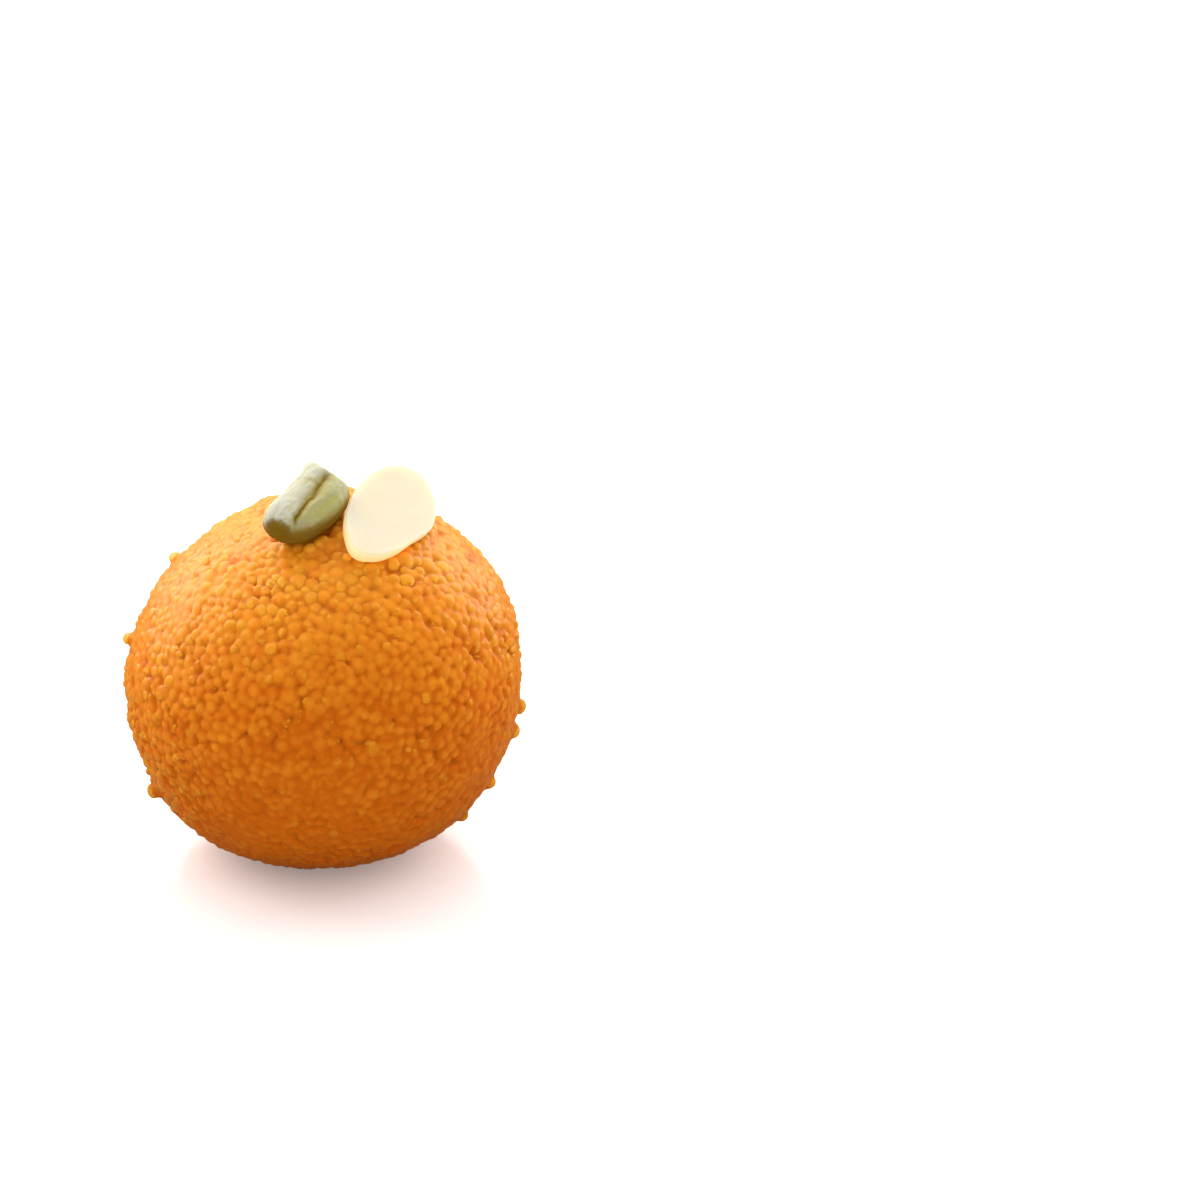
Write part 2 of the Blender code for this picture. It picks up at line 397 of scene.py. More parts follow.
@dataclass(frozen=True)
class SweetFinish:
    """A glossy, slightly see-through food surface coloured by the mottle group.

    The mesh's value "tint" shifts its colour, from deep at 0 to light at 1.

    Attributes:
        name: Name of the material.
        deep: Colour in its dark places.
        light: Colour in its light places.
        grain: Size of the colour patches in metres.
        spread: How strongly the patches differ.
        roughness: Roughness of the surface itself.
        gloss: How strongly it mirrors; 0.5 is usual.
        gloss_tint: Colour that mirrored light takes on.
        coat: Weight of the syrup film over it.
        coat_roughness: Roughness of that film.
        sheen: Weight of the pale rim that a see-through pearl shows at a grazing angle.
        sheen_roughness: How far that rim runs in.
        sheen_tint: Colour of that rim.
        glow: Weight of the light that passes through the surface.
        reach: How far such light goes, in metres.
        reach_shares: Share of that reach for red, green and blue light.
        relief: Depth of the fine bumps in metres.
    """

    name: str
    deep: tuple[float, float, float, float]
    light: tuple[float, float, float, float]
    grain: float = 0.0006
    spread: float = 0.7
    roughness: float = 0.34
    gloss: float = 0.22
    gloss_tint: tuple[float, float, float, float] = colour(1.0, 0.62, 0.25)
    coat: float = 0.15
    coat_roughness: float = 0.06
    sheen: float = 0.15
    sheen_roughness: float = 0.30
    sheen_tint: tuple[float, float, float, float] = colour(1.0, 0.72, 0.36)
    glow: float = 0.0
    reach: float = 0.0005
    reach_shares: tuple[float, float, float] = (1.0, 0.42, 0.12)
    relief: float = 0.00002

    def build(self) -> bpy.types.Material:
        """Return the material.

        Returns:
            A Principled material with its colour, bump and value nodes.
        """
        levels = {
            "Roughness": self.roughness,
            "Specular IOR Level": self.gloss,
            "Specular Tint": self.gloss_tint,
            "Coat Weight": self.coat,
            "Coat Roughness": self.coat_roughness,
            "Sheen Weight": self.sheen,
            "Sheen Roughness": self.sheen_roughness,
            "Sheen Tint": self.sheen_tint,
            "Subsurface Weight": self.glow,
            "Subsurface Radius": self.reach_shares,
            "Subsurface Scale": self.reach,
        }
        made, shader, mottle = start_finish(self, levels)
        made.node_tree.links.new(mottle.outputs["Color"], shader.inputs["Base Color"])
        return made


@dataclass(frozen=True)
class NutFinish:
    """A dry nut surface with fine bumps, a colour of painted shade and glow, and a painted rim
    glow.

    The mesh's value "tint" shifts its colour, from deep at 0 to light at 1.

    Attributes:
        name: Name of the material.
        deep: Colour of its darker patches.
        light: Colour of its lighter patches.
        painted_light: Colour of painted shade and glow, where the mesh's value of that name is 1.
        grain: Size of the patches in metres.
        spread: How strongly the patches differ.
        roughness: Roughness of the surface.
        gloss: How strongly it mirrors; 0.5 is usual.
        glow: Weight of the light that passes through the surface.
        reach: How far such light goes, in metres.
        reach_shares: Share of that reach for red, green and blue light.
        relief: Depth of the fine bumps in metres.
        painted_rim_glow: Strength of the painted glow, an emission, where "rim" is 1.
        rim_tone: Colour of that painted glow.
    """

    name: str
    deep: tuple[float, float, float, float]
    light: tuple[float, float, float, float]
    painted_light: tuple[float, float, float, float]
    grain: float = 0.0007
    spread: float = 1.4
    roughness: float = 0.7
    gloss: float = 0.5
    glow: float = 0.1
    reach: float = 0.0012
    reach_shares: tuple[float, float, float] = (1.0, 0.75, 0.4)
    relief: float = 0.00004
    painted_rim_glow: float = 0.0
    rim_tone: tuple[float, float, float, float] = colour(1.0, 0.76, 0.34)

    def build(self) -> bpy.types.Material:
        """Return the material.

        Returns:
            A Principled material with nodes for its colour, painted light and bump, and its
            painted rim glow.
        """
        levels = {
            "Roughness": self.roughness,
            "Specular IOR Level": self.gloss,
            "Subsurface Weight": self.glow,
            "Subsurface Radius": self.reach_shares,
            "Subsurface Scale": self.reach,
        }
        made, shader, mottle = start_finish(self, levels)
        # Painted light: a second colour, painted shade on the kernel and painted glow on the
        # flake.
        mixed = self._mixed(made, "painted_light", self.painted_light)
        made.node_tree.links.new(mottle.outputs["Color"], mixed.inputs[MIX_FIRST])
        made.node_tree.links.new(mixed.outputs[MIX_RESULT], shader.inputs["Base Color"])
        # Painted glow: an emission on the rim, where light through the flake would come out.
        if self.painted_rim_glow > 0.0:
            rim = self._mixed(made, "rim", self.rim_tone)
            rim.inputs[MIX_FIRST].default_value = colour(0.0, 0.0, 0.0)
            made.node_tree.links.new(rim.outputs[MIX_RESULT], shader.inputs["Emission Color"])
            shader.inputs["Emission Strength"].default_value = self.painted_rim_glow
        return made

    def _mixed(
        self, made: bpy.types.Material, value: str, second: tuple[float, float, float, float]
    ) -> bpy.types.ShaderNode:
        """Return a Mix node that a value on the mesh turns towards its second colour.

        Args:
            made: The material.
            value: Name of the value.
            second: The colour where the value is 1.

        Returns:
            The node, its first colour still open.
        """
        nodes = made.node_tree.nodes
        mixed = nodes.new("ShaderNodeMix")
        mixed.data_type = "RGBA"
        mixed.inputs[MIX_SECOND].default_value = second
        amount = nodes.new("ShaderNodeAttribute")
        amount.attribute_name = value
        made.node_tree.links.new(amount.outputs["Fac"], mixed.inputs["Factor"])
        return mixed


@dataclass(frozen=True)
class BallForm:
    """The hand-rolled form of the ball, over the tops of its pearls.

    Attributes:
        radius: Half its width.
        half_height_up: Height above its centre.
        half_height_down: Depth below its centre, before the flat spot.
        centre_z: Height of its centre above what it rests on.
        skew_up: How far its upper half leans to the right, as a share.
        skew_down: How far its lower half leans to the left.
        fullness: How much fuller it is low down.
    """

    radius: float = 0.0230
    half_height_up: float = 0.0217
    half_height_down: float = 0.0212
    centre_z: float = 0.0202
    skew_up: float = 0.034
    skew_down: float = 0.015
    fullness: float = 0.038

    def reach(self, directions: np.ndarray) -> np.ndarray:
        """Return how far the surface lies from the centre along each direction.

        It is an ellipsoid, times 1 + 2 skew x z + fullness times the fourth power of the sine of
        twice the angle below the middle.

        Args:
            directions: Unit vectors, one row each.

        Returns:
            Distances in metres.
        """
        rise = directions[:, 2]
        half = np.full((len(rise), 3), self.radius)
        half[:, 2] = np.where(rise > 0.0, self.half_height_up, self.half_height_down)
        distance = 1.0 / np.linalg.norm(directions / half, axis=1)
        skew = np.interp(rise, (-0.4, 0.4), (self.skew_down, self.skew_up))
        shoulder = (4.0 * rise**2 * (1.0 - rise**2)) ** 2
        fuller = np.where(rise < 0.0, self.fullness * shoulder, 0.0)
        return distance * (1.0 + 2.0 * skew * directions[:, 0] * rise + fuller)

    def surface(self, directions: np.ndarray) -> np.ndarray:
        """Return points on the surface.

        Args:
            directions: Unit vectors from the centre.

        Returns:
            Points in the frame of the part, not yet cut off at the flat spot.
        """
        points = directions * self.reach(directions)[:, None]
        return points + np.array([0.0, 0.0, self.centre_z])

    def normals(self, directions: np.ndarray) -> np.ndarray:
        """Return outward normals, the cross product of two small steps over the surface.

        Args:
            directions: Unit vectors from the centre.

        Returns:
            Unit vectors.
        """
        step = 0.01
        along_east, along_north = (
            self.surface(unit(directions + step * axis))
            - self.surface(unit(directions - step * axis))
            for axis in across(directions)
        )
        return unit(np.cross(along_east, along_north))


@dataclass(frozen=True)
class ChosenPearl:
    """A pearl that stands out enough to have its own place.

    Attributes:
        azimuth: Degrees from +X towards +Y.
        elevation: Degrees above the middle of the ball.
        radius: In metres.
        proud: How far its top stands above the ball, in metres.
        kind: Its kind.
    """

    azimuth: float
    elevation: float
    radius: float
    proud: float
    kind: PearlKind

    def direction(self) -> tuple[float, float, float]:
        """Return its unit direction from the centre of the ball."""
        turn, rise = math.radians(self.azimuth), math.radians(self.elevation)
        return (math.cos(turn) * math.cos(rise), math.sin(turn) * math.cos(rise), math.sin(rise))


# Azimuth, elevation, radius and proudness in millimetres, and kind of each chosen pearl.
CHOSEN = tuple(
    ChosenPearl(azimuth, elevation, radius * MM, proud * MM, kind)
    for azimuth, elevation, radius, proud, kind in (
        (-152.1, 47.5, 1.25, 0.18, PearlKind.HONEY),
        (-147.0, 52.6, 1.05, 0.15, PearlKind.SAFFRON),
        (-148.3, 44.3, 0.95, 0.10, PearlKind.SAFFRON),
        (-138.2, 45.7, 0.90, 0.10, PearlKind.SAFFRON),
        (-167.3, 36.3, 0.90, 0.10, PearlKind.HONEY),
        (-145.4, 28.6, 0.95, 0.10, PearlKind.SAFFRON),
        (-110.6, 8.1, 0.95, 0.15, PearlKind.SAFFRON),
        (-75.3, 11.3, 0.80, 0.10, PearlKind.HONEY),
        (-86.9, -0.8, 0.80, 0.08, PearlKind.HONEY),
        (-100.4, -32.6, 0.80, 0.10, PearlKind.HONEY),
        (-79.3, -36.3, 0.60, 0.10, PearlKind.HONEY),
        (-101.5, -13.7, 0.75, 0.08, PearlKind.SAFFRON),
        (-38.5, 32.1, 0.80, 0.05, PearlKind.HONEY),
        (-32.2, 29.4, 0.75, 0.05, PearlKind.HONEY),
        (-28.7, 46.7, 1.00, 0.08, PearlKind.HONEY),
        (-38.9, 52.4, 0.80, 0.08, PearlKind.SAFFRON),
        (153.5, 63.9, 0.95, 0.12, PearlKind.HONEY),
        (-95.7, 34.4, 1.00, 0.10, PearlKind.AMBER),
        (-98.7, 28.8, 1.00, 0.06, PearlKind.AMBER),
        (161.0, 36.0, 0.75, 0.80, PearlKind.HONEY),
        (175.0, 11.5, 0.65, 0.75, PearlKind.HONEY),
        (194.6, -29.5, 0.90, 1.05, PearlKind.HONEY),
        (-4.1, -9.1, 0.90, 0.75, PearlKind.HONEY),
        (-6.6, -16.0, 1.00, 0.80, PearlKind.HONEY),
        (-23.0, -5.2, 1.00, 0.25, PearlKind.HONEY),
        (-24.8, -10.2, 0.80, 0.20, PearlKind.SAFFRON),
        (-15.3, -30.7, 0.90, 0.70, PearlKind.SAFFRON),
        (-24.0, -41.0, 0.80, 0.60, PearlKind.SAFFRON),
        (-44.4, -31.4, 0.80, 0.25, PearlKind.HONEY),
        (62.0, -18.0, 0.85, 0.70, PearlKind.SAFFRON),
        (112.0, 14.0, 0.80, 0.65, PearlKind.HONEY),
        (146.0, -27.0, 0.90, 0.70, PearlKind.SAFFRON),
    )
)


@dataclass
class PearlPacking:
    """Where the pearls lie, how large they are and how far they stand out.

    Attributes:
        form: The ball's form.
        count: How many pearls lie in its outer layer.
        mean_radius: Middle radius of the pearls.
        spread: Spread of the logarithm of the radius.
        closeness: Distance between neighbours as a share of the sum of their radii.
        seed: Seed of every random draw.
        bedding: Widest gap under a topping that a pearl rises to close.
        topped_from: Height above which a pearl may lie under a topping.
        limits: Smallest and largest radius of the pearls that are drawn.
        jitter: How far pearls start off an even spiral, as a share of their spacing.
        rounds: How often the neighbours to push off are looked up.
        steps: Pushes in each round.
        watched: How many neighbours each pearl pushes off.
        haste: Share of an overlap that a push takes away.
        usual_rise: Mean and scatter of the tops' rise over the form, in millimetres.
        knotted: How far smooth noise raises and lowers them, in millimetres.
        missing: Share of the pearls that have all but fallen out.
        sunken: How deep the tops of those lie at least and at most, in millimetres.
        highest: How far a drawn pearl's top stands above the form at most.
        honey_from: Draw above which a small pearl is honey.
        honey_largest: Radius below which it may be.
        saffron_from: Draw above which a pearl is saffron, and otherwise amber.
        wettest: Direction in which the syrup lies thickest.
        directions: Direction of each pearl from the ball's centre.
        radii: Radius of each pearl.
        proud: How far its top stands above the form.
        kinds: Number of its kind, in the order of PearlKind.
        centres: Its centre.
    """

    form: BallForm
    count: int = 3900
    mean_radius: float = 0.70 * MM
    spread: float = 0.28
    closeness: float = 0.82
    seed: int = 3147
    bedding: float = 0.9 * MM
    topped_from: float = 0.030
    limits: tuple[float, float] = (0.36 * MM, 1.10 * MM)
    jitter: float = 0.3
    rounds: int = 5
    steps: int = 6
    watched: int = 14
    haste: float = 0.4
    usual_rise: tuple[float, float] = (-0.11, 0.09)
    knotted: float = 0.10
    missing: float = 0.04
    sunken: tuple[float, float] = (0.30, 0.55)
    highest: float = 0.20 * MM
    honey_from: float = 1.25
    honey_largest: float = 0.80 * MM
    saffron_from: float = 0.02
    wettest: tuple[float, float, float] = (0.22, -0.93, -0.30)
    directions: np.ndarray = field(init=False)
    radii: np.ndarray = field(init=False)
    proud: np.ndarray = field(init=False)
    kinds: np.ndarray = field(init=False)
    centres: np.ndarray = field(init=False)

    def settle(self, toppings: list[np.ndarray]) -> None:
        """Scatter the pearls, push them apart, set their depth and press them under toppings.

        Args:
            toppings: Points on the surface of each topping.
        """
        rng = np.random.default_rng(self.seed)
        chosen = np.array([pearl.direction() for pearl in CHOSEN])
        fixed = len(chosen)
        index = np.arange(self.count - fixed) + 0.5
        polar = np.arccos(1.0 - 2.0 * index / len(index))
        turn = math.pi * (1.0 + math.sqrt(5.0)) * index
        spiral = [np.sin(polar) * np.cos(turn), np.sin(polar) * np.sin(turn), np.cos(polar)]
        spacing = math.sqrt(4.0 * math.pi / self.count)
        loose = np.stack(spiral, axis=1) + rng.normal(0.0, self.jitter * spacing, (len(index), 3))
        self.directions = np.concatenate([chosen, unit(loose)])
        drawn = self.mean_radius * np.exp(rng.normal(0.0, self.spread, len(index)))
        self.radii = np.concatenate(
            [[pearl.radius for pearl in CHOSEN], np.clip(drawn, *self.limits)]
        )
        self._push_apart(fixed)
        self._choose_depth(rng, fixed)
        self._choose_kinds(rng, fixed)
        self._press_under(toppings)

    def _push_apart(self, fixed: int) -> None:
        """Move pearls that are too near along the line between them, the chosen ones staying.

        Args:
            fixed: How many of the first pearls stay where they are.
        """
        for _ in range(self.rounds):
            near = nearest_others(self.form.surface(self.directions), self.watched)
            for _ in range(self.steps):
                places = self.form.surface(self.directions)
                gap = places[:, None, :] - places[near]
                distance = np.maximum(np.linalg.norm(gap, axis=2), 1e-7)
                wanted = self.closeness * (self.radii[:, None] + self.radii[near])
                push = np.clip(1.0 - distance / wanted, 0.0, None) * wanted * self.haste
                moved = (gap * (push / distance)[..., None]).sum(axis=1)
                moved[:fixed] = 0.0
                centre = np.array([0.0, 0.0, self.form.centre_z])
                self.directions = unit(places + moved - centre)

    def _choose_depth(self, rng: np.random.Generator, fixed: int) -> None:
        """Set how far each pearl's top stands above the form, most of them just below it.

        The tops scatter less where syrup lies thick, and they rise and fall with smooth noise. A
        few pearls have all but fallen out.

        Args:
            rng: Source of the random draws.
            fixed: How many of the first pearls have their depth given.
        """
        loose = len(self.radii) - fixed
        knots = ripple(self.form.surface(self.directions), 150.0, 24, self.seed + 4)[fixed:]
        calm = 1.0 - 0.6 * self.wetness(self.directions)[fixed:]
        depth = (rng.normal(*self.usual_rise, loose) * calm + self.knotted * knots) * MM
        roll = rng.uniform(size=loose)
        sunken = -rng.uniform(*self.sunken, loose) * MM
        depth = np.where(roll < self.missing, sunken, depth)
        depth = np.minimum(depth, self.highest)
        self.proud = np.concatenate([[pearl.proud for pearl in CHOSEN], depth])

    def _choose_kinds(self, rng: np.random.Generator, fixed: int) -> None:
        """Give each pearl its kind, in loose patches with odd ones among them.

        Few of the drawn ones are honey, all of them small, and the wetter the place the more are
        amber.

        Args:
            rng: Source of the random draws.
            fixed: How many of the first pearls have their kind given.
        """
        amber, saffron, honey = (kind.number() for kind in PearlKind)
        patch = ripple(self.directions, 0.9, 16, self.seed + 1)[fixed:]
        draw = rng.normal(0.0, 1.0, len(patch)) + 0.5 * patch
        draw = draw - 0.7 * self.wetness(self.directions)[fixed:] + 0.35
        pale = (draw > self.honey_from) & (self.radii[fixed:] < self.honey_largest)
        kinds = np.where(pale, honey, np.where(draw > self.saffron_from, saffron, amber))
        given = [pearl.kind.number() for pearl in CHOSEN]
        self.kinds = np.concatenate([given, kinds]).astype(int)

    def _press_under(self, toppings: list[np.ndarray]) -> None:
        """Set the centres, and sink or raise the pearls under a topping until they touch it.

        Those that rise become amber, as they lie in the topping's shade.

        Args:
            toppings: Points on the surface of each topping.
        """
        normals = self.form.normals(self.directions)
        sunk = self.radii - self.proud
        self.centres = self.form.surface(self.directions) - normals * sunk[:, None]
        near = np.full(len(self.radii), np.inf)
        for points in toppings:
            sample = points[:: max(1, len(points) // 4000)]
            high = self.centres[:, 2] > self.topped_from
            apart = np.linalg.norm(self.centres[high][:, None, :] - sample[None, :, :], axis=2)
            near[high] = np.minimum(near[high], apart.min(axis=1))
        into = np.clip(self.radii - near, 0.0, None)
        under = (near < self.radii + self.bedding) & (near > self.radii)
        rise = np.where(under, 0.9 * (near - self.radii), 0.0)
        self.kinds = np.where(rise > 0.0, PearlKind.AMBER.number(), self.kinds)
        self.centres = self.centres + normals * (rise - into)[:, None]

    def wetness(self, directions: np.ndarray) -> np.ndarray:
        """Return how thickly the syrup lies, 0 where the pearls stand clear and 1 at its wettest.

        It is most in front of the ball and low down, and broken up by smooth noise.

        Args:
            directions: Unit vectors from the centre of the ball.

        Returns:
            One value for each direction.
        """
        front = unit(np.array(self.wettest))
        facing = np.clip((directions @ front - 0.30) / 0.45, 0.0, 1.0)
        patches = 0.5 + 0.35 * ripple(directions, 1.3, 18, self.seed + 2)
        return np.clip(facing * (0.55 + 0.6 * patches) + 0.25 * patches, 0.0, 1.0)

    def facing(self) -> np.ndarray:
        """Return three axes for each pearl: two across the surface and the outward normal.

        Returns:
            An array of shape (pearls, 3, 3), whose last row is the normal.
        """
        normals = self.form.normals(self.directions)
        east, north = across(normals)
        twist = np.random.default_rng(self.seed + 6).uniform(0.0, math.pi, (len(normals), 1))
        turned = np.cos(twist) * east + np.sin(twist) * north
        return np.stack([turned, np.cross(normals, turned), normals], axis=1)


@dataclass
class BoondiBall:
    """The ball: its pearls by kind, and the syrup skin that binds them.

    Attributes:
        packing: Where the pearls lie.
        pearl_side: Squares along a side of the cube that a pearl starts as.
        outward: How closely a pearl's points are drawn to its outer side; 1 leaves them even.
        press: How far a pearl flattens where it meets another, as a share.
        skin_side: Squares along a side of the cube that the skin starts as.
        fillet: Width over which the syrup rounds a crevice.
        films: How far the skin lies above the pearls, where it is thin and thick.
        fills: Share of a crevice that the syrup fills, where it is thin and thick.
        softness: How far soaked-in light evens the shading, where syrup is thin and thick.
        stretch: Spread of a pearl's stretch, as a share.
        lumpiness: How far each of its sine waves swells it, as a share.
        touching: How many neighbours press a pearl.
        odds: How far pearls differ in paleness, either way.
        loose_from: How far a pearl's top stands out where the pearl counts as loose.
        loose_painted_glow: How much paler such a pearl is, a painted glow of light through it.
        ring: Paleness, place and width of the painted sheen round a pearl's top, which is at 1.
        girdle: Darkness, place and width of the painted shade in a band round its middle.
        under_skin: How many pearls shape the skin at a place.
        steepness: How steeply a pearl's top falls off beside it.
        level_width: Width of the bell that averages the tops.
        shade_depth: Depth of a crevice at which its painted shade is darkest.
        finishes: Finish of each kind of pearl.
        syrup: Finish of the skin.
    """

    packing: PearlPacking
    pearl_side: int = 3
    outward: float = 0.62
    press: float = 0.9
    skin_side: int = 127
    fillet: float = 0.07 * MM
    films: tuple[float, float] = (-0.06 * MM, 0.05 * MM)
    fills: tuple[float, float] = (0.42, 0.62)
    softness: tuple[float, float] = (0.56, 0.48)
    stretch: float = 0.11
    lumpiness: float = 0.042
    touching: int = 12
    odds: float = 0.14
    loose_from: float = 0.5 * MM
    loose_painted_glow: float = 0.20
    ring: tuple[float, float, float] = (0.34, 0.60, 0.18)
    girdle: tuple[float, float, float] = (0.10, 0.0, 0.3)
    under_skin: int = 14
    steepness: float = 1.5
    level_width: float = 0.9 * MM
    shade_depth: float = 0.6 * MM
    finishes: dict[PearlKind, SweetFinish] = field(
        default_factory=lambda: {
            PearlKind.AMBER: SweetFinish(
                "amber_pearl", colour(0.70, 0.174, 0.004), colour(1.0, 0.382, 0.022)
            ),
            PearlKind.SAFFRON: SweetFinish(
                "saffron_pearl", colour(0.72, 0.186, 0.004), colour(1.0, 0.408, 0.024)
            ),
            PearlKind.HONEY: SweetFinish(
                "honey_pearl", colour(0.74, 0.200, 0.004), colour(1.0, 0.440, 0.028)
            ),
        }
    )
    syrup: SweetFinish = SweetFinish(
        "syrup_skin",
        colour(0.70, 0.158, 0.003),
        colour(1.0, 0.400, 0.022),
        grain=0.0011,
        spread=0.6,
        coat=0.09,
        glow=0.7,
    )

    def build(self) -> None:
        """Make the skin and the pearls of each kind, and hand them over."""
        for kind in PearlKind:
            chosen = np.flatnonzero(self.packing.kinds == kind.number())
            piece = self._pearls(kind, chosen)
            hand_over(piece, "boondi_ball")
        hand_over(self._skin(), "boondi_ball")

    def _template(self) -> tuple[np.ndarray, np.ndarray]:
        """Return the unit pearl, with most of its points on its outer side, and its squares.

        A cube swollen to a sphere is seen from its far pole on a flat plane, where the plane is
        shrunk by a share and cast back on the sphere, which keeps the squares square.

        Returns:
            Unit directions with +Z outward, and four point numbers for each square.
        """
        points, faces = cube_sphere(self.pearl_side)
        flat = self.outward * points[:, :2] / np.maximum(1.0 + points[:, 2:], 1e-6)
        far = (flat**2).sum(axis=1, keepdims=True)
        cast = np.concatenate([2.0 * flat, 1.0 - far], axis=1) / (1.0 + far)
        return unit(cast), faces

    def _pearl_shapes(self, chosen: np.ndarray) -> np.ndarray:
        """Return the points of the chosen pearls, each a lumpy sphere pressed by its neighbours.

        A pearl starts as the unit pearl, is stretched a little across the surface, and swells and
        dips by a few sine waves. Where it passes the plane on which it and a neighbour balance,
        it is pushed back by most of the excess.

        Args:
            chosen: Numbers of the pearls.

        Returns:
            An array of shape (pearls, points, 3).
        """
        packing = self.packing
        rng = np.random.default_rng(packing.seed + 5)
        grid = self._template()[0]
        everyone = len(packing.radii)
        stretch = 1.0 + rng.normal(0.0, self.stretch, (everyone, 1, 3))
        stretch[:, :, 2] = 1.0 - np.abs(stretch[:, :, 2] - 1.0) * 0.5
        heading = rng.normal(0.0, 1.7, (everyone, 3, 4))
        phase = rng.uniform(0.0, 2.0 * math.pi, (everyone, 1, 4))
        axes = packing.facing()
        local = grid[None, :, :] * stretch[chosen]
        lumps = np.sin(grid @ heading[chosen] + phase[chosen]).sum(axis=2)
        local = local * (1.0 + self.lumpiness * lumps[..., None])
        local = local * packing.radii[chosen][:, None, None]
        shape = np.einsum("npk,nkj->npj", local, axes[chosen])
        near = nearest_others(packing.centres, self.touching)[chosen]
        gap = packing.centres[near] - packing.centres[chosen][:, None, :]
        distance = np.maximum(np.linalg.norm(gap, axis=2), 1e-7)
        towards = gap / distance[..., None]
        mine = packing.radii[chosen][:, None]
        balance = (distance**2 + mine**2 - packing.radii[near] ** 2) / (2.0 * distance)
        for side in range(near.shape[1]):
            along = np.einsum("npk,nk->np", shape, towards[:, side])
            excess = np.clip(along - balance[:, side][:, None], 0.0, None) * self.press
            shape = shape - excess[..., None] * towards[:, side][:, None, :]
        return shape + packing.centres[chosen][:, None, :]

    def _pearls(self, kind: PearlKind, chosen: np.ndarray) -> bpy.types.Object:
        """Make all pearls of one kind as one mesh, cut off at what the ball rests on.

        A pearl has painted sheen in a paler ring round its top and painted shade in a darker band
        round its middle. One that stands well out of the ball is paler all over, a painted glow of
        light through it.

        Args:
            kind: The kind of pearl.
            chosen: Numbers of its pearls.

        Returns:
            The object.
        """
        rng = np.random.default_rng(self.packing.seed + 9)
        points = self._pearl_shapes(chosen)
        each = points.shape[1]
        grid = self._template()[1]
        faces = (grid[None, :, :] + each * np.arange(len(chosen))[:, None, None]).reshape(-1, 4)
        tint = rng.uniform(-self.odds, self.odds, len(self.packing.radii))
        tint = tint + self._paler(self.packing.centres[:, 2], self.packing.directions)
        # Painted glow: a pearl that stands well out is paler all over.
        loose = self.packing.proud > self.loose_from
        tint = np.where(loose, tint + self.loose_painted_glow, tint)[chosen]
        outer = self._template()[0][:, 2]
        # Painted sheen in a ring round each pearl's top, painted shade in a band round its middle.
        bands = (self.ring, self.girdle)
        ring, girdle = (much * hump(outer, place, wide) for much, place, wide in bands)
        tint = tint[:, None] + (ring - girdle)[None, :]
        flat = points.reshape(-1, 3)
        flat[:, 2] = np.maximum(flat[:, 2], 0.0)
        even = np.repeat(self.packing.form.normals(self.packing.directions)[chosen], each, axis=0)
        wet = np.repeat(self.packing.wetness(self.packing.directions)[chosen], each)
        return piece_from(
            f"pearls_{kind.value}",
            flat,
            faces,
            self.finishes[kind].build(),
            {"tint": tint},
            self._soaked(flat, faces, even, wet),
        )

    def _soaked(
        self, points: np.ndarray, faces: np.ndarray, even: np.ndarray, wet: np.ndarray
    ) -> np.ndarray:
        """Return shading normals between the mesh's own and those of the even ball.

        Light that soaks through a pearl blurs its shading, which mixing the normals does too.

        Args:
            points: Points of the mesh.
            faces: Point numbers of each face.
            even: Normals of the ball without its pearls.
            wet: How thickly the syrup lies.

        Returns:
            Unit vectors.
        """
        thin, thick = self.softness
        share = (thin + (thick - thin) * wet)[:, None]
        return unit((1.0 - share) * point_normals(points, faces) + share * even)

    def _paler(self, heights: np.ndarray, directions: np.ndarray) -> np.ndarray:
        """Return the ball's paleness: painted light with height, and where less syrup soaks it.

        Args:
            heights: Heights above what the ball rests on.
            directions: Unit vectors from the centre of the ball.

        Returns:
            About 0 at its soaked bottom in painted shade and 0.76 at its top.
        """
        # Painted light and shade: paler higher up, darker low down.
        raised = np.clip((heights - 2.0 * MM) / (44.0 * MM), 0.0, 1.0)
        return 0.60 * raised + 0.16 * (1.0 - self.packing.wetness(directions))

    def _skin(self) -> bpy.types.Object:
        """Make the syrup skin: a smooth maximum of the pearls, with its crevices part filled.

        The height at a place is width times the logarithm of the sum of exp(top / width) over
        the nearest pearls, where top is the height of that pearl's sphere there, or falls off
        steeply beside it. The level of the tops near the place, averaged with a bell, is mixed
        in by the share that is filled, and a film's depth is added. Less is filled along thin
        cracks, where noise passes through 0. Painted shade darkens cracks and deep crevices.

        Returns:
            The object.
        """
        packing, form = self.packing, self.packing.form
        directions, faces = cube_sphere(self.skin_side)
        base = form.surface(directions)
        normals = form.normals(directions)
        wet = packing.wetness(directions)
        height = np.empty(len(base))
        tops = np.empty(len(base))
        lengths = (packing.centres**2).sum(axis=1)
        for rows in np.array_split(np.arange(len(base)), 60):
            apart = (base[rows] ** 2).sum(axis=1)[:, None] + lengths[None, :]
            apart = apart - 2.0 * base[rows] @ packing.centres.T
            near = np.argpartition(apart, self.under_skin, axis=1)[:, : self.under_skin]
            gap = packing.centres[near] - base[rows][:, None, :]
            level = (gap * normals[rows][:, None, :]).sum(axis=2)
            aside = np.sqrt(np.maximum((gap**2).sum(axis=2) - level**2, 0.0))
            radius = packing.radii[near]
            inside = np.sqrt(np.maximum(radius**2 - aside**2, 0.0))
            top = level + inside - np.clip(aside - radius, 0.0, None) * self.steepness
            best = top.max(axis=1, keepdims=True)
            spread = np.exp((top - best) / self.fillet).sum(axis=1)
            height[rows] = best[:, 0] + self.fillet * np.log(spread)
            weight = hump(aside, 0.0, self.level_width) + 1e-9
            tops[rows] = (weight * (level + radius)).sum(axis=1) / weight.sum(axis=1)
        depth = np.clip((tops - height) / self.shade_depth, 0.0, 1.0)
        crack = hump(ripple(base, 120.0, 22, packing.seed + 7), 0.0, 0.10)
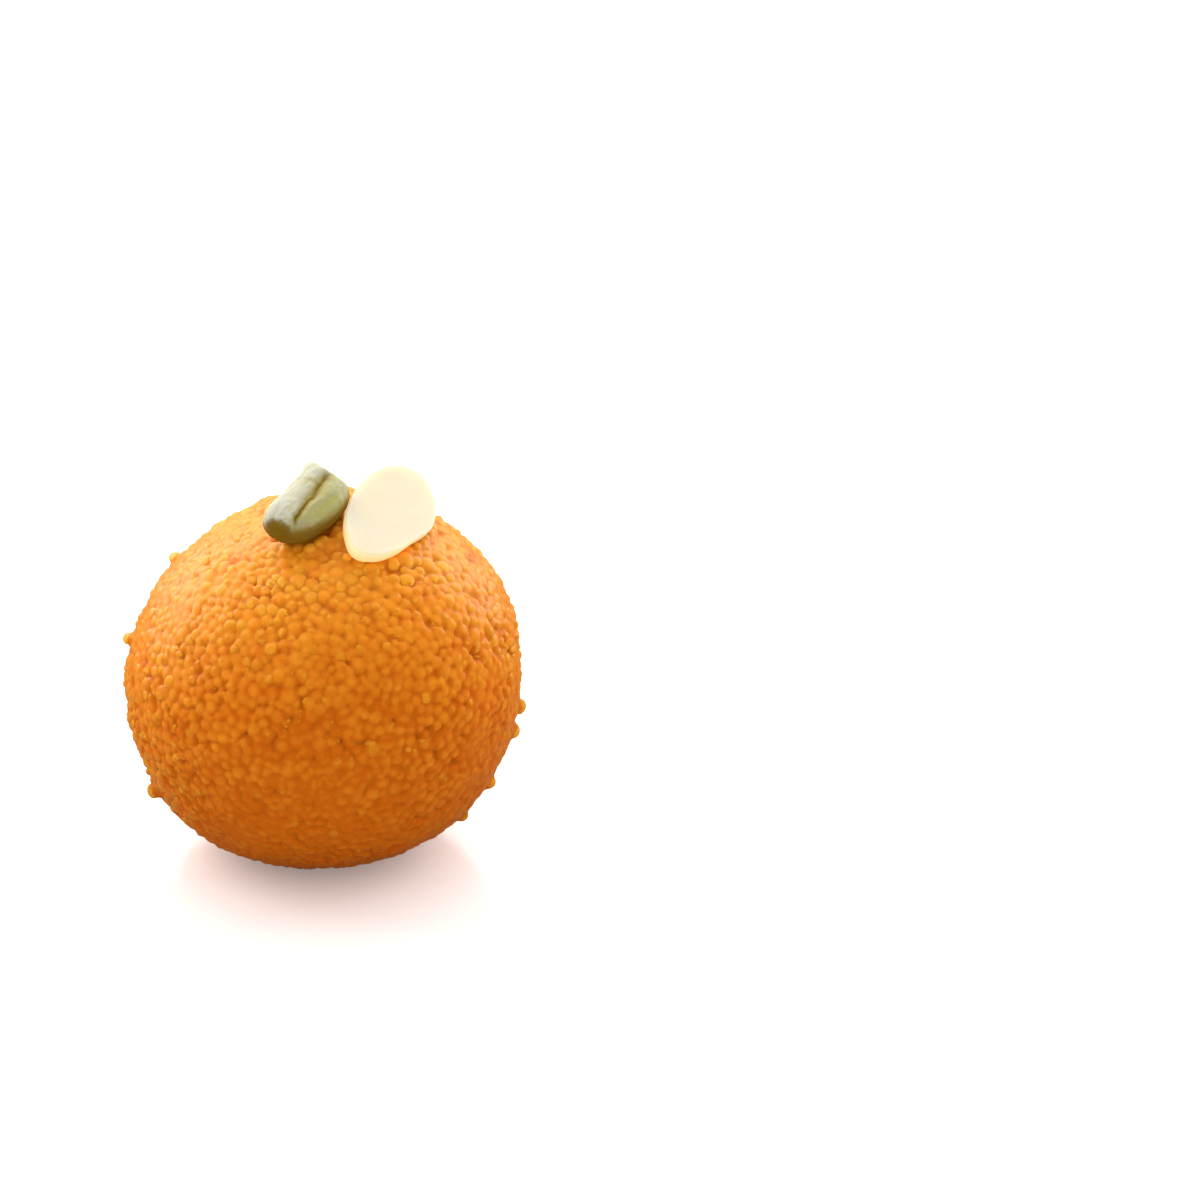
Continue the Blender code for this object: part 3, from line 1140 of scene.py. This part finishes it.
        fill = self.fills[0] + (self.fills[1] - self.fills[0]) * wet
        fill = fill * (1.0 - 0.7 * crack)
        height = height + fill * (tops - height)
        height = height + self.films[0] + (self.films[1] - self.films[0]) * wet
        points = base + normals * height[:, None]
        points[:, 2] = np.maximum(points[:, 2], 0.0)
        tint = self._paler(points[:, 2], directions)
        tint = tint + 0.08 * ripple(points, 230.0, 20, packing.seed + 3)
        tint = tint + 0.06 * ripple(points, 900.0, 20, packing.seed + 8)
        # Painted shade: darker in deep crevices, more where wet, and along cracks.
        tint = tint - (0.26 + 0.22 * wet) * depth - 0.30 * crack
        shading = self._soaked(points, faces, normals, wet)
        return piece_from("syrup_skin", points, faces, self.syrup.build(), {"tint": tint}, shading)


@dataclass
class PistachioKernel:
    """The skinned kernel on the ball: two lobes with a groove, wrinkles and a knob.

    Attributes:
        half: Half its length, width and height.
        centre: Its centre.
        azimuth: Heading of its length from +Y towards +X, in degrees.
        pitch: Rise of its length, in degrees.
        roll: Roll to its right, in degrees.
        blunt_length: Power of the length at the near end; below 1 is blunter than an ellipsoid.
        blunt_girth: The same for the section.
        bend: How far its length bends to the right.
        waist: How far its left side is drawn in beyond the middle.
        widening: How much wider it gets towards the far end, as a share.
        end_lift: How far its ends turn up.
        knob: How far the left lobe's far end swells, at a share of 1 across.
        far_length: Power of the length at the far end.
        far_girth: Power of the girth there.
        far_share: Length of the far half, as a share of the near half's.
        far_hollow: How far the far end is hollowed between the lobes.
        far_flare: How far the right lobe's far end swells.
        rings: Rings along its length.
        sectors: Points in a ring.
        finish: Its finish.
    """

    half: tuple[float, float, float] = (0.0057, 0.0032, 0.0026)
    centre: tuple[float, float, float] = (-0.001576, -0.005872, 0.043902)
    azimuth: float = 39.0
    pitch: float = 15.8
    roll: float = 22.8
    blunt_length: float = 0.62
    blunt_girth: float = 0.82
    bend: float = 0.00087
    waist: float = 0.00020
    widening: float = 0.15
    end_lift: float = 0.00013
    knob: float = 0.00040
    far_length: float = 0.56
    far_girth: float = 0.45
    far_share: float = 0.895
    far_hollow: float = 0.00070
    far_flare: float = 0.00060
    rings: int = 150
    sectors: int = 190
    finish: NutFinish = NutFinish(
        "pistachio_skin",
        colour(0.43, 0.40, 0.125),
        colour(0.60, 0.59, 0.485),
        # Colour of the painted shade.
        colour(0.21, 0.126, 0.003),
        grain=0.0005,
        spread=0.5,
        roughness=0.60,
        gloss=0.08,
        glow=0.08,
    )

    def axes(self) -> np.ndarray:
        """Return the length, across and up axes as rows.

        Returns:
            A three by three array.
        """
        azimuth, pitch, roll = (math.radians(a) for a in (self.azimuth, self.pitch, self.roll))
        level = math.cos(pitch)
        length = [math.sin(azimuth) * level, math.cos(azimuth) * level, math.sin(pitch)]
        sideways = unit(np.cross(length, [0.0, 0.0, 1.0]))
        up = np.cross(sideways, length)
        rolled_sideways = math.cos(roll) * sideways - math.sin(roll) * up
        rolled_up = math.cos(roll) * up + math.sin(roll) * sideways
        return np.array([length, rolled_sideways, rolled_up])

    def body(self) -> tuple[np.ndarray, np.ndarray, np.ndarray]:
        """Return the kernel's points in its own axes, with its crease and tint values.

        It is a superellipsoid: along is sin p to a power, girth is cos p to the same power, and
        width and height share the girth as powers of cos a and sin a. Its far end is blunter and
        slightly hollow. It is then bent, narrowed at its waist, grooved and wrinkled.

        Returns:
            Points, values of painted shade, and tint values.
        """
        polar = np.linspace(0.0, math.pi, self.rings + 2)[1:-1]
        sphere = sphere_grid(polar, self.sectors)[:, [2, 0, 1]]
        ring = np.maximum(np.hypot(sphere[:, 1], sphere[:, 2]), 1e-9)
        far = sphere[:, 0] > 0.0
        along = powered(sphere[:, 0], np.where(far, self.far_length, self.blunt_length))
        girth = ring ** np.where(far, self.far_girth, self.blunt_length)
        girth = np.where(ring < 1e-6, 0.0, girth)
        aside = girth * powered(sphere[:, 1] / ring, self.blunt_girth)
        rise = girth * powered(sphere[:, 2] / ring, self.blunt_girth)
        waist = hump(along, 0.5, 0.2) * np.clip(-aside, 0.0, 1.0)
        tail = np.clip(along, 0.0, 1.0)
        x = self.half[0] * along * np.where(far, self.far_share, 1.0)
        x = x - self.far_hollow * hump(aside, 0.0, 0.5) * tail**6
        y = self.half[1] * aside + self.bend * (0.5 - along**2) + self.waist * waist
        y = y * (1.0 + self.widening * along)
        y = y + tail**4 * np.where(aside < 0.0, self.knob, self.far_flare) * aside
        z = self.half[2] * rise + self.end_lift * along**2
        return self._crease(np.stack([x, y, z], axis=1), along, aside, rise)

    def _crease(
        self, points: np.ndarray, along: np.ndarray, aside: np.ndarray, rise: np.ndarray
    ) -> tuple[np.ndarray, np.ndarray, np.ndarray]:
        """Cut the groove, raise the ridge beside it and wrinkle the skin.

        The groove follows the parabola y = 0.72 mm - 0.19 x + 9 x squared. Across it a bell is
        wide on the left and narrow on the right, with a slit at its bottom, and it fades out
        before both ends. A ridge leaves it slowly towards the far end, and a neck crosses the
        left lobe. Streaks are noise drawn out to seven times its width. The left lobe, which
        faces the lamps, is paler as painted light, and the far end is paler too. Painted shade
        darkens the groove, the slit, the neck, the fold, the near end, the right flank and the
        underside.

        Args:
            points: Points in the kernel's axes.
            along: Share of the way along, -1 to 1.
            aside: Share of the way across, -1 to 1.
            rise: Share of the way up, -1 to 1.

        Returns:
            Points, values of painted shade, and tint values.
        """
        x, y = points[:, 0], points[:, 1]
        middle = 0.00072 - 0.19 * x + 9.0 * x**2
        jagged = 0.10 * ripple(points, 320.0, 10, 41) + 0.05 * ripple(points, 1300.0, 16, 47)
        off = y - middle + jagged * MM
        top = np.clip(rise * 1.3, 0.0, 1.0)
        ends = 1.0 / (1.0 + np.exp((along - 0.74) / 0.05) + np.exp(-(along + 0.80) / 0.05))
        bell = np.where(off < 0.0, hump(off, 0.0, 1.25 * MM), hump(off, 0.0, 0.45 * MM + 0.06 * x))
        slit = top * ends * hump(off, -0.05 * MM, 0.20 * MM)
        groove = top * ends * bell
        apart = 1.0 * MM + 0.25 * x
        ridge = top * ends * hump(off, apart, 0.34 * MM) * hump(along, -0.10, 0.55)
        drawn = points * np.array([0.14, 1.0, 1.0])
        streak = ripple(drawn, 2300.0, 48, 45)
        furrow = ripple(drawn, 900.0, 24, 46)
        cross = hump(x, 1.78 * MM + 0.70 * MM * aside, 0.26 * MM)
        neck = cross * np.clip(0.45 - aside, 0.0, 1.0) * top
        lumps = 0.06 * ripple(points, 210.0, 14, 42) + 0.020 * ripple(points, 800.0, 24, 43)
        fold = hump(y + 0.25 * MM + 0.6 * jagged * MM, 0.0, 0.09 * MM)
        fold = fold * hump(x, -3.4 * MM, 1.3 * MM)
        inward = 0.47 * groove + 0.13 * slit + 0.10 * neck + 0.05 * fold - 0.13 * ridge
        inward = inward - lumps - 0.016 * streak - 0.030 * furrow
        outward = unit(np.stack([0.15 * along, aside, rise], axis=1))
        left = step_down(off, -0.70 * MM, 0.20 * MM)
        far = step_down(-x, -2.2 * MM, 0.35 * MM)
        # Painted light: the left lobe, which faces the lamps, is paler; the far end and the ridge
        # are paler too.
        tint = 0.14 + left * (0.54 - 0.24 * along) + 0.30 * far + 0.10 * ridge
        tint = tint + (0.10 + 0.14 * left) * streak + 0.12 * furrow
        tint = tint + 0.05 * ripple(points, 160.0, 12, 44)
        uneven = 0.002 * streak + 0.008 * furrow
        near_end = step_down(along - 0.10 * aside + uneven, -0.93, 0.014)
        flank = np.clip(2.0 * aside, 0.0, 1.0) * step_down(rise, 0.42, 0.08)
        below = step_down(rise, -0.05, 0.08)
        # Painted shade in the groove, the slit, the neck and the fold, less on the left lobe, with
        # fibre streaks.
        painted_light = 0.09 + 0.38 * slit + 0.60 * groove * (1.0 - 0.7 * left) + 0.22 * neck
        painted_light = painted_light - 0.12 * left + 0.11 * streak + 0.11 * furrow + 0.10 * ridge + 0.30 * fold
        # Painted shade at the near end, the right flank and the underside, which face away from
        # the lamps.
        dark = np.maximum(np.maximum(near_end, 0.93 * flank), below)
        painted_light = np.clip(np.maximum(painted_light * top, dark), 0.0, 1.0)
        return points - outward * (inward * MM)[:, None], painted_light, tint

    def place(self, points: np.ndarray) -> np.ndarray:
        """Return points of the kernel's axes in the frame of the part."""
        return points @ self.axes() + np.array(self.centre)

    def surface(self) -> np.ndarray:
        """Return points on the kernel, for the pearls under it to touch."""
        return self.place(self.body()[0])

    def build(self) -> None:
        """Make the kernel and hand it over."""
        points, painted_light, tint = self.body()
        faces = closed_grid(self.rings, self.sectors)[:, ::-1]
        values = {"painted_light": painted_light, "tint": tint}
        piece = piece_from("pistachio", self.place(points), faces, self.finish.build(), values)
        hand_over(piece, "pistachio_kernel")


@dataclass
class AlmondFlake:
    """The slice of blanched almond: a thin slab with an egg-shaped outline.

    Attributes:
        half_length: Half its length.
        half_width: Half its width.
        thickness: How thick it is.
        top_centre: Middle of its upper face.
        long_axis: Direction of its length, towards its broad end.
        normal: Direction that its upper face looks.
        mean: Mean share of the ellipse that its outline takes.
        harmonics: Cosine and sine parts of the outline's first four waves.
        tip: Angle and spread in degrees of its narrow end, and how far that is pushed out.
        rounding: Share of the outline over which its rim is rounded.
        rim_rings: Rings round the rim.
        face_rings: Rings on each face.
        sectors: Points in a ring.
        finish: Its finish.
    """

    half_length: float = 0.0083
    half_width: float = 0.00485
    thickness: float = 0.0016
    top_centre: tuple[float, float, float] = (0.00803, -0.00464, 0.04274)
    long_axis: tuple[float, float, float] = (0.3365, 0.9095, 0.2442)
    normal: tuple[float, float, float] = (0.2993, -0.3492, 0.8880)
    mean: float = 0.982
    harmonics: tuple[tuple[float, float], ...] = (
        (0.008, -0.014),
        (-0.004, -0.031),
        (-0.023, 0.034),
        (0.017, 0.0),
    )
    tip: tuple[float, float, float] = (172.0, 13.0, 0.060)
    rounding: float = 0.065
    rim_rings: int = 25
    face_rings: int = 15
    sectors: int = 180
    finish: NutFinish = NutFinish(
        "almond_cut_face",
        colour(0.69, 0.59, 0.41),
        colour(0.73, 0.64, 0.47),
        # Colour of the painted glow low on the rim.
        colour(0.98, 0.60, 0.19),
        grain=0.0022,
        spread=0.9,
        roughness=0.48,
        glow=0.9,
        reach=0.0030,
        relief=0.000015,
        painted_rim_glow=0.44,
    )

    def outline(self, angle: np.ndarray) -> np.ndarray:
        """Return the outline's radius: an ellipse times a mean, four harmonics and a tip.

        Args:
            angle: Angles from the long axis.

        Returns:
            Distances from the centre in metres.
        """
        ellipse = 1.0 / np.hypot(np.cos(angle) / self.half_length, np.sin(angle) / self.half_width)
        share = np.full_like(angle, self.mean)
        for order, (even, odd) in enumerate(self.harmonics, start=1):
            share = share + even * np.cos(order * angle) + odd * np.sin(order * angle)
        tip, spread, push = self.tip
        from_tip = np.angle(np.exp(1j * (angle - math.radians(tip))))
        return ellipse * (share + push * hump(from_tip, 0.0, math.radians(spread)))

    def profile(self) -> tuple[np.ndarray, np.ndarray]:
        """Return the half section: shares of the outline and heights over the thickness.

        The rim is a superellipse, cos to the power 0.55 out and sin to the power 0.60 up, and
        both faces run in to the middle.

        Returns:
            Shares from middle to rim to middle, and heights from 0.5 to -0.5.
        """
        rim = np.linspace(0.5 * math.pi, -0.5 * math.pi, self.rim_rings)
        out = 1.0 - self.rounding + self.rounding * np.cos(rim) ** 0.55
        high = 0.5 * powered(np.sin(rim), 0.60)
        inner = np.linspace(0.06, 1.0 - self.rounding, self.face_rings, endpoint=False)
        shares = np.concatenate([inner, out, inner[::-1]])
        level = np.full(self.face_rings, 0.5)
        heights = np.concatenate([level, high, -level])
        return shares, heights

    def body(self) -> tuple[np.ndarray, dict[str, np.ndarray]]:
        """Return the flake's points in the frame of the part, with their named values.

        The profile is carried round the outline. Then the lower edge is drawn in at the front,
        both faces are hollowed and made uneven by noise, and so is the outline.

        Returns:
            Points, and by name its values: painted glow in its colour, tint, and painted glow on
                its rim.
        """
        shares, heights = self.profile()
        turn = 2.0 * math.pi * np.arange(self.sectors) / self.sectors
        reach = self.outline(turn)[None, :] * shares[:, None]
        x = (reach * np.cos(turn)).ravel()
        y = (reach * np.sin(turn)).ravel()
        share = np.repeat(shares, self.sectors)
        height = np.repeat(heights, self.sectors)
        flat = np.stack([x, y, height * self.thickness], axis=1)
        flat = np.concatenate(
            [[[0.0, 0.0, 0.5 * self.thickness]], flat, [[0.0, 0.0, -0.5 * self.thickness]]]
        )
        share = np.concatenate([[0.0], share, [0.0]])
        height = np.concatenate([[0.5], height, [-0.5]])
        angle = np.arctan2(flat[:, 1], flat[:, 0])
        undercut = 0.10 * hump(angle, math.radians(-115.0), math.radians(50.0))
        flat[:, :2] *= (1.0 - undercut * np.clip(0.45 - height, 0.0, 1.0))[:, None]
        hollow = 0.05 * MM * (1.0 - share**2) + 0.022 * MM * ripple(flat, 190.0, 14, 61)
        flat[:, 2] -= hollow * np.sign(height) * (np.abs(height) > 0.49)
        flat[:, :2] *= (1.0 + 0.006 * ripple(flat, 230.0, 10, 62) * share)[:, None]
        normal = unit(np.array(self.normal))
        length = np.array(self.long_axis)
        length = unit(length - normal * length.dot(normal))
        axes = np.array([length, np.cross(normal, length), normal])
        centre = np.array(self.top_centre) - normal * self.thickness / 2.0
        near_left = np.clip(0.35 - np.cos(angle - math.radians(-20.0)), 0.0, 1.0)
        # Painted glow: orange low on the rim near the left, where light comes through the flake.
        painted_light = 0.85 * hump(height, -0.30, 0.35) * np.clip((share - 0.9) * 10.0, 0.0, 1.0)
        painted_light = painted_light * near_left
        tint = 0.62 - 0.20 * hump(share, 0.15, 0.4) + 0.10 * ripple(flat, 170.0, 12, 63)
        # Painted glow: where the rim gives off light as an emission.
        rim = np.clip((share - 0.88) * 12.0, 0.0, 1.0) * np.clip(near_left + 0.25, 0.0, 1.0)
        rim = rim * np.clip(2.6 - 5.0 * height, 0.0, 1.0)
        return flat @ axes + centre, {"painted_light": painted_light, "tint": tint, "rim": rim}

    def surface(self) -> np.ndarray:
        """Return points on the flake, for the pearls under it to touch."""
        return self.body()[0]

    def build(self) -> None:
        """Make the flake and hand it over."""
        points, values = self.body()
        faces = closed_grid(len(self.profile()[0]), self.sectors)
        piece = piece_from("almond_slice", points, faces, self.finish.build(), values)
        hand_over(piece, "almond_flake")


@dataclass(frozen=True)
class SoftLamp:
    """A square soft lamp that looks at the ball.

    Attributes:
        name: Its name.
        place: Where it hangs, in metres.
        size: Its side in metres.
        power: Its power in watts.
        tone: Its colour.
    """

    name: str
    place: tuple[float, float, float]
    size: float
    power: float
    tone: tuple[float, float, float] = (1.0, 1.0, 1.0)

    def hang(self, target_z: float) -> None:
        """Hang the lamp and turn it to a point over the origin at the given height."""
        data = bpy.data.lights.new(self.name, "AREA")
        data.shape = "SQUARE"
        data.size = self.size
        data.energy = self.power
        data.color = self.tone
        lamp = bpy.data.objects.new(self.name, data)
        lamp.location = self.place
        aim = Vector((0.0, 0.0, target_z)) - Vector(self.place)
        lamp.rotation_euler = aim.to_track_quat("-Z", "Y").to_euler()
        bpy.context.scene.collection.objects.link(lamp)


@dataclass
class Studio:
    """The pale floor, the soft lamps and the camera.

    Attributes:
        target_z: Height of the point that the camera circles.
        distance: Distance of the camera from it.
        elevation: Angle of the camera above it, in degrees.
        pitch: How far the camera looks down, in degrees.
        yaw: How far it looks to the right, in degrees.
        lens: Focal length in millimetres for a sensor 36 mm wide.
        ambient: Strength of the light from high up behind the ball.
        ambient_front: Strength of the light from the front.
        mirrored: Strength of what gloss mirrors high up behind the ball.
        mirrored_front: Strength of what it mirrors at the front.
        floor_half: Half the floor's side.
        lamps: The soft lamps.
    """

    target_z: float = 0.0185
    distance: float = 0.5779
    elevation: float = 24.0
    pitch: float = 23.005
    yaw: float = 3.458
    lens: float = 150.0
    ambient: float = 0.95
    ambient_front: float = 0.91
    mirrored: float = 1.3
    mirrored_front: float = 0.02
    floor_half: float = 6.0
    lamps: tuple[SoftLamp, ...] = (
        SoftLamp("left_softbox", (-0.44, 0.34, 0.36), 0.56, 3.1, (1.0, 0.985, 0.96)),
        SoftLamp("top_softbox", (0.04, 0.40, 0.48), 0.60, 2.1),
        SoftLamp("right_softbox", (0.44, 0.30, 0.24), 0.40, 1.6),
    )

    def build(self) -> None:
        """Set up everything round the object."""
        self._camera()
        self._floor()
        self._world()
        for lamp in self.lamps:
            lamp.hang(self.target_z)
        view = bpy.context.scene.view_settings
        view.view_transform = "Standard"
        view.look = "None"

    def _camera(self) -> None:
        """Place the camera at the photograph's angle."""
        data = bpy.data.cameras.new("camera")
        data.lens = self.lens
        data.sensor_width = 36.0
        data.clip_start = 0.01
        data.clip_end = 50.0
        camera = bpy.data.objects.new("camera", data)
        rise = math.radians(self.elevation)
        camera.location = (
            0.0,
            -self.distance * math.cos(rise),
            self.target_z + self.distance * math.sin(rise),
        )
        camera.rotation_euler = (
            math.radians(90.0 - self.pitch),
            0.0,
            -math.radians(self.yaw),
        )
        bpy.context.scene.collection.objects.link(camera)
        bpy.context.scene.camera = camera

    def _floor(self) -> None:
        """Lay a wide pale floor with a faint gloss, which throws back less light than it shows."""
        finish = bpy.data.materials.new("pale_floor")
        finish.use_nodes = True
        nodes, links = finish.node_tree.nodes, finish.node_tree.links
        shader = nodes["Principled BSDF"]
        shader.inputs["Base Color"].default_value = colour(0.95, 0.935, 0.93)
        shader.inputs["Roughness"].default_value = 0.20
        shader.inputs["Specular IOR Level"].default_value = 0.7
        shader.inputs["Emission Color"].default_value = colour(1.0, 0.84, 0.76)
        shader.inputs["Emission Strength"].default_value = 0.24
        cast = nodes.new("ShaderNodeBsdfDiffuse")
        path = nodes.new("ShaderNodeLightPath")
        thrown = nodes.new("ShaderNodeMix")
        thrown.data_type = "RGBA"
        thrown.inputs[MIX_FIRST].default_value = colour(0.52, 0.50, 0.48)
        thrown.inputs[MIX_SECOND].default_value = colour(0.08, 0.06, 0.05)
        links.new(path.outputs["Is Glossy Ray"], thrown.inputs["Factor"])
        links.new(thrown.outputs[MIX_RESULT], cast.inputs["Color"])
        mixed = nodes.new("ShaderNodeMixShader")
        links.new(path.outputs["Is Camera Ray"], mixed.inputs["Fac"])
        links.new(cast.outputs["BSDF"], mixed.inputs[1])
        links.new(shader.outputs["BSDF"], mixed.inputs[2])
        links.new(mixed.outputs["Shader"], nodes["Material Output"].inputs["Surface"])
        mesh = bpy.data.meshes.new("floor")
        wide = self.floor_half
        corners = [(-wide, -wide, 0.0), (wide, -wide, 0.0), (wide, wide, 0.0), (-wide, wide, 0.0)]
        mesh.from_pydata(corners, [], [(0, 1, 2, 3)])
        mesh.materials.append(finish)
        floor = bpy.data.objects.new("floor", mesh)
        floor.location = (0.0, 0.0, -0.00002)
        bpy.context.scene.collection.objects.link(floor)

    def _world(self) -> None:
        """Fill the surroundings with pale light, brightest high up behind the ball.

        What gloss mirrors falls off faster towards the front, as in a studio lit from behind.
        """
        world = bpy.data.worlds.new("studio")
        world.use_nodes = True
        nodes, links = world.node_tree.nodes, world.node_tree.links
        around = nodes["Background"]
        around.inputs["Color"].default_value = colour(1.0, 1.0, 1.0)
        heading = nodes.new("ShaderNodeTexCoord")
        towards = nodes.new("ShaderNodeVectorMath")
        towards.operation = "DOT_PRODUCT"
        towards.inputs[1].default_value = unit(np.array([[-0.30, 0.55, 0.78]]))[0].tolist()
        links.new(heading.outputs["Generated"], towards.inputs[0])
        path = nodes.new("ShaderNodeLightPath")
        strength = nodes.new("ShaderNodeMix")
        spans = (
            (2, -0.5, 0.9, self.ambient_front, self.ambient),
            (3, 0.15, 0.95, self.mirrored_front, self.mirrored),
        )
        for socket, low, high, dim, bright in spans:
            level = nodes.new("ShaderNodeMapRange")
            level.inputs["From Min"].default_value = low
            level.inputs["From Max"].default_value = high
            level.inputs["To Min"].default_value = dim
            level.inputs["To Max"].default_value = bright
            links.new(towards.outputs["Value"], level.inputs["Value"])
            links.new(level.outputs["Result"], strength.inputs[socket])
        links.new(path.outputs["Is Glossy Ray"], strength.inputs["Factor"])
        links.new(strength.outputs[0], around.inputs["Strength"])
        seen = nodes.new("ShaderNodeBackground")
        seen.inputs["Color"].default_value = colour(1.0, 1.0, 1.0)
        seen.inputs["Strength"].default_value = 1.0
        mixed = nodes.new("ShaderNodeMixShader")
        links.new(path.outputs["Is Camera Ray"], mixed.inputs["Fac"])
        links.new(around.outputs["Background"], mixed.inputs[1])
        links.new(seen.outputs["Background"], mixed.inputs[2])
        links.new(mixed.outputs["Shader"], nodes["World Output"].inputs["Surface"])
        bpy.context.scene.world = world


def main() -> None:
    """Build the laddu's pieces in order and set up the studio."""
    logging.basicConfig(level=logging.INFO, format="%(name)s: %(message)s")
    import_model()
    kernel = PistachioKernel()
    flake = AlmondFlake()
    packing = PearlPacking(BallForm())
    packing.settle([kernel.surface(), flake.surface()])
    BoondiBall(packing).build()
    kernel.build()
    flake.build()
    Studio().build()


if __name__ == "__main__":
    main()
